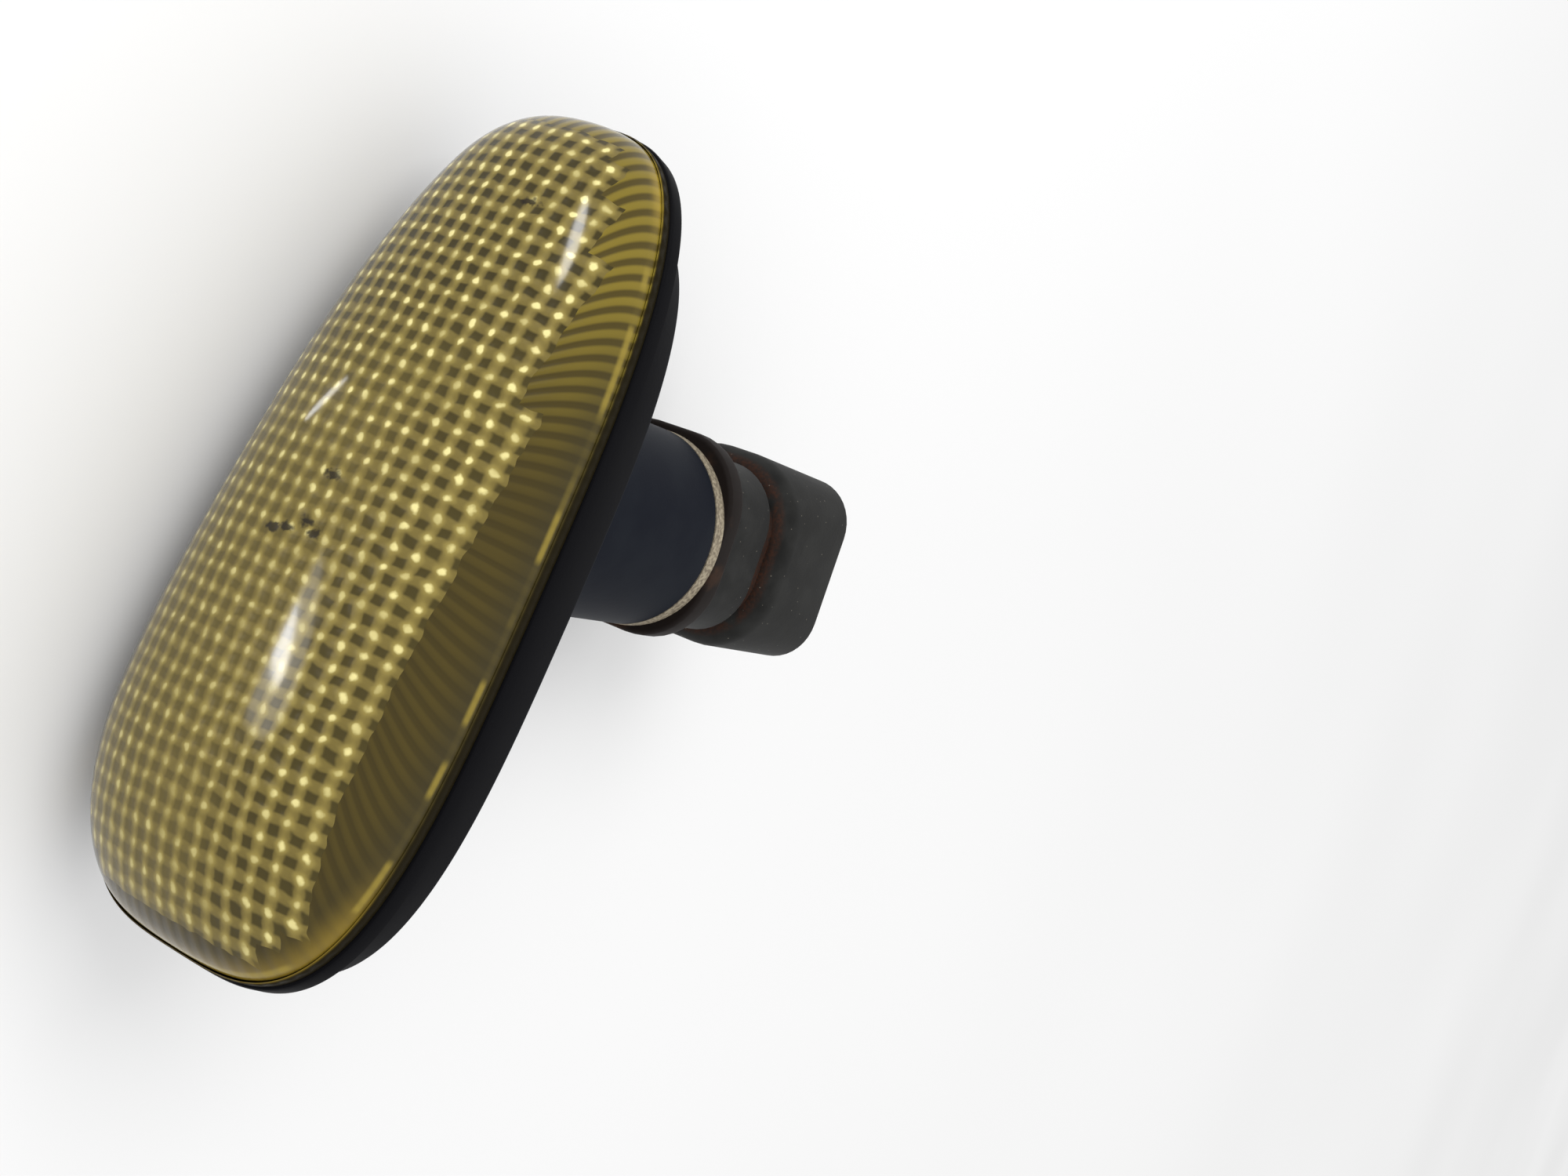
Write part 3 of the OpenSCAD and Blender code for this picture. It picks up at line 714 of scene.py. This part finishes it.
        # The mat's back lies inside the lens wall
        skin = bmesh.ops.extrude_face_region(bm, geom=bm.faces[:])
        for v in skin["geom"]:
            if isinstance(v, bmesh.types.BMVert):
                v.co = form.on_dome(v.co.x - sizes.offset, v.co.z, 0.8 * sizes.wall)
        finished(bm, "lens_pillows", amber, "lens", smooth=60)


# Pieces on the neck's leaning axis


def rounded_outline(half_long, half_short, corner):
    """Corners and sides of a rounded rectangle, as points on X and Z."""
    bends = []
    for sx, sz, start in ((1, 1, 0), (-1, 1, 90), (-1, -1, 180), (1, -1, 270)):
        cx, cz = sx * (half_long - corner), sz * (half_short - corner)
        turns = [math.radians(start + 90 * k / CORNER_STEPS) for k in range(CORNER_STEPS + 1)]
        bends.append([(cx + corner * math.cos(a), cz + corner * math.sin(a)) for a in turns])
    points = []
    for bend, following in zip(bends, bends[1:] + bends[:1]):
        (ax, az), (bx, bz) = bend[-1], following[0]
        points += bend
        for k in range(1, SIDE_STEPS):
            t = k / SIDE_STEPS
            points.append((ax + (bx - ax) * t, az + (bz - az) * t))
    return points


def loft(bm, sections):
    """A skin through rounded sections (place along the axis, half sizes, corner), in order."""
    outlines = [(s[0], rounded_outline(*s[1:])) for s in sections]
    count = len(outlines[0][1])

    def place(i, j):
        along, outline = outlines[j]
        x, z = outline[i % count]
        return (x, along, z)

    sheet_of(bm, count, len(outlines) - 1, place)


def rounded_edge(face, towards, radius, outer, steps=5):
    """Sections round an edge: from the face outwards where towards is 1, else back to it."""
    sections = []
    for k in range(steps + 1):
        a = math.radians(90 * k / steps)
        pull = radius * (1 - math.sin(a))
        place = face + towards * radius * (1 - math.cos(a))
        # Corners tighten less than the sides draw in
        sections.append((place, outer[0] - pull, outer[1] - pull, outer[2] - 0.6 * pull))
    return sections if towards > 0 else sections[::-1]


def lean_over(bm, angle):
    bmesh.ops.rotate(bm, verts=bm.verts, cent=(0, 0, 0), matrix=Matrix.Rotation(angle, 3, "Z"))


def holder_finish(colours, sizes):
    """Worn grey plastic with rusty dirt in its groove and pale specks."""
    f = Finish("holder_grey")
    turned = f.node(
        "ShaderNodeVectorRotate",
        0,
        {"rotation_type": "Z_AXIS"},
        Vector=f.object,
        Angle=-sizes.lean,
    )
    x, along, z = f.parts(turned)
    cloud = f.noise(260, 3)
    grain = f.noise(2600, 3)
    # Places along the axis are counted from the start of the groove
    along = along - (sizes.neck_end + sizes.gasket + sizes.collar + sizes.body)
    across = f.math("MAXIMUM", f.math("ABSOLUTE", x), f.math("ABSOLUTE", z))
    dirt = f.zone(-0.5, 1.1, along) * f.zone(3.2, 2.6, along) * f.zone(7.4, 8.2, across)
    grey = f.mix(f.step(0.35, 0.7, cloud), colours.grey, colours.grey_worn)
    grey = f.mix(f.zone(2.8, 4.5, along) * 0.3, grey, colours.grey_shell)
    rusty = f.mix(f.step(0.3, 0.75, grain), colours.rust_low, colours.rust)
    colour = f.mix(dirt * (0.55 + 0.45 * cloud), grey, rusty)
    specks = f.step(0.09, 0.05, f.spots(900))
    return f.set(
        Base_Color=f.mix(specks * 0.35, colour, colours.speck),
        Roughness=0.5 + 0.2 * cloud,
        Specular_IOR_Level=0.1,
        Normal=f.bump(grain, 0.03 * MM, 0.5),
    )


def collar_finish(colours):
    """Dull dark rubber with clouds of rust."""
    f = Finish("collar_brown")
    cloud = f.noise(180, 3)
    grain = f.noise(3200, 2)
    return f.set(
        Base_Color=f.mix(f.step(0.55, 0.75, cloud), colours.brown, colours.brown_rust),
        Roughness=0.5 + 0.25 * cloud,
        Specular_IOR_Level=0.1,
        Normal=f.bump(grain, 0.02 * MM, 0.4),
    )


class LAMP_OT_holder(bpy.types.Operator):
    """Makes the rubber collar and the bulb holder with its connector shell"""

    bl_idname = "lamp.make_holder"
    bl_label = "Make holder"

    def execute(self, context):
        sizes = context.scene.lamp_holder
        colours = context.scene.lamp_colours
        self.collar(sizes, collar_finish(colours))
        self.body(sizes, holder_finish(colours, sizes))
        return {"FINISHED"}

    def collar(self, sizes, material):
        start = sizes.neck_end + sizes.gasket
        end = start + sizes.collar
        outer = (sizes.collar_long, sizes.collar_short, sizes.collar_corner)
        slip = 0.1 * MM
        bore = (sizes.core + slip,) * 3
        sections = [(start, *bore), *rounded_edge(start, 1, 0.5 * MM, outer)]
        sections += rounded_edge(end, -1, 0.6 * MM, outer)
        sections += [(end, *bore), (start, *bore)]
        bm = bmesh.new()
        loft(bm, sections)
        lean_over(bm, sizes.holder_lean)
        finished(bm, "rubber_collar", material, "holder_collar")

    def body(self, sizes, material):
        """Plug, body, groove and connector shell as one closed skin."""
        start = sizes.neck_end + sizes.gasket + sizes.collar
        waist = start + sizes.body
        shell = waist + sizes.waist
        end = shell + sizes.shell
        point = (POINT,) * 3
        core = (sizes.core,) * 3
        outer = (sizes.body_long, sizes.body_short, sizes.body_corner)
        sections = [(sizes.plug_front, *point), (sizes.plug_front, *core), (start, *core)]
        sections.append((start, *outer))
        steps = 10
        for k in range(steps + 1):
            t = k / steps
            # The groove's slope takes up a little over half of its length
            sink = sizes.waist_depth * (0.5 - 0.5 * math.cos(math.pi * min(1, t / 0.55)))
            run = sizes.waist + sizes.waist_lead - sizes.shell_lead
            place = waist - sizes.waist_lead + run * t
            sections.append((place, outer[0] - sink, outer[1] - sink, outer[2] - 0.5 * sink))
        low = sections[-1][1:]
        outer = (sizes.shell_long, sizes.shell_short, sizes.corner)
        wide = (outer[0] + sizes.shell_draft, outer[1] + sizes.shell_draft, sizes.lip_corner)
        sections += rounded_edge(shell - sizes.shell_lead, 1, sizes.shell_lip, wide, 8)
        sections += rounded_edge(end, -1, 0.5 * MM, outer)
        hollow = tuple(v - sizes.shell_wall for v in outer)
        socket = tuple(v - sizes.shell_wall for v in low)
        floor = shell - sizes.waist_depth
        sections += [(end, *hollow), (shell, *hollow), (shell, *socket), (floor, *socket)]
        sections.append((floor, *point))
        bm = bmesh.new()
        loft(bm, sections)
        lean_over(bm, sizes.holder_lean)
        finished(bm, "holder_shell", material, "bulb_holder")


class LAMP_OT_housing(bpy.types.Operator):
    """Makes the housing's band, groove and plinth, and its leaning neck"""

    bl_idname = "lamp.make_housing"
    bl_label = "Make housing"

    def execute(self, context):
        scene = context.scene
        black = housing_finish(scene.lamp_colours)
        self.back(LensForm(scene.lamp_lens), scene.lamp_lens, scene.lamp_housing, black)
        self.neck(scene.lamp_holder, black)
        return {"FINISHED"}

    def back(self, form, lens, sizes, material):
        """Profile of side inset, end inset (None on the plinth) and place along Y."""
        lip, soft = -sizes.lip, sizes.edge
        front, rear = lens.rim, lens.rim + sizes.band
        plinth = rear + sizes.groove
        inner = lens.tongue_inset + lens.tongue_thick + sizes.channel_wall
        deep = sizes.groove_depth
        side = sizes.plinth_side
        ends = (sizes.plinth_slim, sizes.plinth_broad)
        profile = [
            (inner, inner, sizes.floor),
            (inner, inner, front),
            (lip + soft, lip + soft, front),
            (lip + 0.3 * soft, lip + 0.3 * soft, front + 0.3 * soft),
            (lip, lip, front + soft),
            (lip, lip, rear - soft),
            (lip + soft, lip + soft, rear),
            (deep, deep, rear),
            (deep, deep, plinth),
            (side, None, plinth),
            (side, None, -soft),
            (side + 0.3 * soft, None, -0.3 * soft),
            (side + soft, None, 0),
        ]
        around = HOUSING_POINTS
        angles = form.even_angles(around)
        last = len(profile) + 1

        def place(i, j):
            inset, end_inset, y = profile[min(max(j - 1, 0), len(profile) - 1)]
            if end_inset is None:
                end_inset = ends[math.cos(angles[i % around]) > 0] + inset - side
            x, z = form.outline(angles[i % around], inset, end_inset)
            if j in (0, last):
                x, z = POINT * x, POINT * z
            return (x + lens.offset, y, z)

        bm = bmesh.new()
        sheet_of(bm, around, last, place)
        finished(bm, "housing_back", material, "housing", smooth=35)

    def neck(self, sizes, material):
        """Drafted tube whose lower rings lie flat in the seat's plane and the rest square to it."""
        lean, fillet, end = sizes.lean, sizes.fillet, sizes.neck_end
        clear, edge, floor = 0.02 * MM, 0.25 * MM, 20 * MM
        rings = [("flat", clear, POINT), ("flat", clear, fillet)]
        for k in range(6):
            a = math.radians(90 * k / 5)
            rings.append(("flat", fillet * (1 - math.cos(a)) + clear, fillet * (1 - math.sin(a))))
        rings += [("flat", h * MM, 0.0) for h in (2, 4, 6)]
        rings += [("square", s, 0.0) for s in (12 * MM, 18 * MM, end - edge)]
        rings.append(("square", end, -edge))
        bore = sizes.bore - sizes.neck_radius
        rings += [("square", end, bore), ("square", floor, bore), ("square", floor, POINT)]

        def place(i, j):
            kind, value, more = rings[j]
            a = 2 * math.pi * i / NECK_POINTS
            radius = sizes.neck_radius + sizes.neck_draft * (1 - value / end) + more
            if more == POINT:
                radius = POINT
            u, z = radius * math.cos(a), radius * math.sin(a)
            s = value if kind == "square" else (value - u * math.sin(lean)) / math.cos(lean)
            return (u * math.cos(lean) - s * math.sin(lean), s * math.cos(lean) + u * math.sin(lean), z)

        bm = bmesh.new()
        sheet_of(bm, NECK_POINTS, len(rings) - 1, place)
        finished(bm, "housing_neck", material, "housing", smooth=40)


# Finishes of the housing and of the CAD pieces


def housing_finish(colours):
    """Satin black band, slate neck with dust in its grain."""
    f = Finish("housing_black")
    cloud = f.noise(140, 3)
    grain = f.noise(2400, 2)
    neck = f.zone(-0.6, 0.4, f.parts(f.object)[1])
    slate = f.mix(f.step(0.35, 0.7, cloud), colours.slate, colours.dust)
    return f.set(
        Base_Color=f.mix(neck, colours.black, slate),
        Roughness=0.42 + 0.15 * cloud,
        Specular_IOR_Level=0.03,
        Normal=f.bump(grain, 0.02 * MM, 0.4),
    )


def ring_finish(colours):
    """Pale grainy ring with stains."""
    f = Finish("pale_ring")
    grain = f.noise(2600, 4)
    stain = f.noise(350, 2)
    colour = f.mix(f.step(0.35, 0.7, grain), colours.cream_low, colours.cream)
    colour = f.mix(f.step(0.6, 0.8, stain) * 0.6, colour, colours.stain)
    return f.set(Base_Color=colour, Roughness=0.9, Normal=f.bump(grain, 0.1 * MM, 0.8))


def plain_finish(name, colour, roughness, grain=1800.0, **more):
    """A finish with a faint cloud and grain."""
    f = Finish(name)
    cloud = f.noise(grain / 10, 2)
    darker = tuple(0.8 * c for c in colour)
    return f.set(
        Base_Color=f.mix(cloud, darker, colour),
        Roughness=roughness + 0.1 * cloud,
        Normal=f.bump(f.noise(grain, 2), 0.01 * MM, 0.3),
        **more,
    )


class LAMP_OT_finishes(bpy.types.Operator):
    """Gives the CAD pieces a finish, also those that a piece of this script stands for"""

    bl_idname = "lamp.finish_pieces"
    bl_label = "Finish pieces"

    def execute(self, context):
        colours = context.scene.lamp_colours
        steel = plain_finish("drawn_wire", (0.5, 0.5, 0.48), 0.3, Metallic=1.0)
        brass = plain_finish("contact_brass", (0.62, 0.47, 0.22), 0.35, Metallic=1.0)
        glass = plain_finish("bulb_glass", (0.85, 0.9, 0.9), 0.05, Alpha=0.3)
        finishes = {
            "housing": plain_finish("housing_core", colours.black, 0.5),
            "neck_gasket": ring_finish(colours),
            "bulb_holder": plain_finish("holder_core", colours.grey, 0.6),
            "bulb_glass": glass,
            "filament": steel,
            "lead_left": steel,
            "lead_right": steel,
            "contact_left": brass,
            "contact_right": brass,
        }
        for node, material in finishes.items():
            dress(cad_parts[node], material)
        return {"FINISHED"}


# Stage


class StageSettings(bpy.types.PropertyGroup):
    """Surroundings, floor and lights."""

    sky: share("Sky", "Strength of the pale surroundings", 1.0)
    key: share("Key light", "Power of the large soft light in watts", 2.0)
    floor_gap: length("Floor gap", "From the lamp's underside down to the floor", 0.02)
    floor_half: length("Floor half", "Half of the floor's width", 3000)


def soft_light(name, place, target, size, power, turn=0.0, mirror_only=False):
    """An area light; one that is only for mirror images leaves the rest of the stage alone."""
    light = bpy.data.lights.new(name, "AREA")
    light.shape = "ELLIPSE" if mirror_only else "RECTANGLE"
    light.size, light.size_y = size
    light.energy = power
    lamp = bpy.data.objects.new(name, light)
    aim = (Vector(target) - Vector(place)).to_track_quat("-Z", "Y").to_matrix().to_4x4()
    lamp.matrix_world = Matrix.Translation(place) @ aim @ Matrix.Rotation(turn, 4, "Z")
    lamp.visible_camera = False
    lamp.visible_diffuse = not mirror_only
    lamp.visible_transmission = False
    lamp.visible_glossy = mirror_only
    bpy.context.scene.collection.objects.link(lamp)


def streak_light(name, form, eye, start, end, away, width, radiance):
    """A light whose mirror image on the dome runs from start to end, as the camera sees it."""
    ends = []
    for x, z in (start, end):
        point = form.on_dome(x * MM, z * MM, 0)
        normal = form.normal(x * MM, z * MM)
        ray = (point - eye).normalized()
        ends.append((point, point + away * ray.reflect(normal)))
    middle = (ends[0][1] + ends[1][1]) / 2
    target = (ends[0][0] + ends[1][0]) / 2
    run = ends[1][1] - ends[0][1]
    facing = (target - middle).to_track_quat("-Z", "Y").to_matrix()
    local = facing.inverted() @ run
    size = (run.length, width)
    oval = math.pi / 4 * size[0] * size[1]
    power = radiance * math.pi * oval
    soft_light(name, middle, target, size, power, math.atan2(local.y, local.x), True)


class LAMP_OT_stage(bpy.types.Operator):
    """Sets the floor, the lights and the camera"""

    bl_idname = "lamp.make_stage"
    bl_label = "Make stage"

    def execute(self, context):
        stage = context.scene.lamp_stage
        context.scene.view_settings.view_transform = "Standard"
        self.camera(context)
        self.floor(stage)
        self.sky(context, stage)
        form = LensForm(context.scene.lamp_lens)
        self.lights(stage, form, context.scene.camera.matrix_world.translation)
        return {"FINISHED"}

    def camera(self, context):
        eye = bpy.data.cameras.new("view")
        eye.sensor_width = FILM_WIDTH
        eye.lens = VIEW_LENS
        eye.clip_start = 5 * MM
        camera = bpy.data.objects.new("view", eye)
        turn = Matrix((VIEW_ACROSS, VIEW_UP, VIEW_BACK)).transposed().to_4x4()
        camera.matrix_world = Matrix.Translation(VIEW_PLACE) @ turn
        context.scene.collection.objects.link(camera)
        context.scene.camera = camera

    def floor(self, stage):
        low = cad_box[0][2] - stage.floor_gap
        bm = bmesh.new()
        bmesh.ops.create_grid(bm, x_segments=8, y_segments=8, size=stage.floor_half)
        bmesh.ops.translate(bm, verts=bm.verts, vec=(0, 0, low))
        mesh = bpy.data.meshes.new("floor")
        bm.to_mesh(mesh)
        bm.free()
        floor = bpy.data.objects.new("floor", mesh)
        bpy.context.scene.collection.objects.link(floor)
        pale = plain_finish("pale_floor", (0.92, 0.92, 0.92), 0.7, 20.0, Specular_IOR_Level=0.0)
        dress(floor, pale)

    def sky(self, context, stage):
        world = bpy.data.worlds.new("pale_surroundings")
        world.use_nodes = True
        background = world.node_tree.nodes["Background"]
        background.inputs["Color"].default_value = (1, 1, 1, 1)
        background.inputs["Strength"].default_value = stage.sky
        context.scene.world = world

    def lights(self, stage, form, eye):
        soft_light("key", (-0.35, -0.35, 0.55), (0, 0, 0), (0.4, 0.4), stage.key)
        # Both ends of a streak on the dome in millimetres; away and width of its light in metres
        for name, start, end, away, width, radiance in (
            ("window_streak", (9.0, 3.1), (18.2, 7.0), 0.06, 0.008, 60),
            ("window_glow", (6.5, 1.8), (21.5, 8.4), 0.06, 0.024, 11),
            ("small_streak", (-9.1, -2.4), (-4.0, -4.6), 0.012, 0.0010, 22),
            ("far_streak", (-33.2, 8.5), (-24.7, 11.0), 0.1, 0.013, 46),
        ):
            streak_light(name, form, eye, start, end, away, width, radiance)


CLASSES = (
    LensSizes,
    HolderSizes,
    HousingSizes,
    LampColours,
    StageSettings,
    LAMP_OT_lens,
    LAMP_OT_holder,
    LAMP_OT_housing,
    LAMP_OT_finishes,
    LAMP_OT_stage,
)


class LAMP_PT_panel(bpy.types.Panel):
    """The lamp's steps, in order."""

    bl_idname = "LAMP_PT_panel"
    bl_label = "Side repeater lamp"
    bl_space_type = "VIEW_3D"
    bl_region_type = "UI"
    bl_category = "Lamp"

    def draw(self, context):
        steps = ("make_lens", "make_holder", "make_housing", "finish_pieces", "make_stage")
        for step in steps:
            self.layout.operator("lamp." + step)


def register():
    for made in (*CLASSES, LAMP_PT_panel):
        bpy.utils.register_class(made)
    scene = bpy.types.Scene
    scene.lamp_lens = PointerProperty(type=LensSizes)
    scene.lamp_holder = PointerProperty(type=HolderSizes)
    scene.lamp_housing = PointerProperty(type=HousingSizes)
    scene.lamp_colours = PointerProperty(type=LampColours)
    scene.lamp_stage = PointerProperty(type=StageSettings)


def unregister():
    for name in ("lamp_lens", "lamp_holder", "lamp_housing", "lamp_colours", "lamp_stage"):
        delattr(bpy.types.Scene, name)
    for made in reversed((*CLASSES, LAMP_PT_panel)):
        bpy.utils.unregister_class(made)


def main():
    register()
    bpy.ops.lamp.make_lens()
    bpy.ops.lamp.make_holder()
    bpy.ops.lamp.make_housing()
    bpy.ops.lamp.finish_pieces()
    bpy.ops.lamp.make_stage()


if __name__ == "__main__":
    main()
